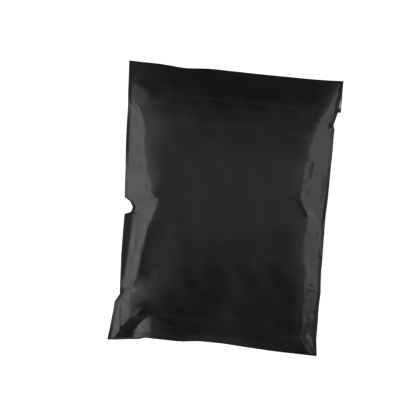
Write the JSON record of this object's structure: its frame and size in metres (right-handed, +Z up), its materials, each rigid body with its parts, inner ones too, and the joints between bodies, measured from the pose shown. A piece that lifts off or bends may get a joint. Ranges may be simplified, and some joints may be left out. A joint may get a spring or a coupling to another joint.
{
  "type": "poly mailer bag",
  "caption": "Filled, sealed plastic-film mailer, pillow shaped, with welded and pleated sides and a flap glued down on its back.",
  "frame": {"origin": "middle of the outline seen from above, on the surface that the bag lies on", "axes": "+Z up out of the front face; +Y towards the folded top edge with the flap; +X to the right across the front face"},
  "size_m": [0.253, 0.3296, 0.0362],
  "materials": {
    "film": "black polyethylene film, semi-gloss, finely creased",
    "hot_melt": "off-white pressure-sensitive hot-melt adhesive, slightly translucent"
  },
  "bodies": {
    "root": {"mailer_bag": "film", "adhesive_strip": "hot_melt"}
  },
  "joints": []
}
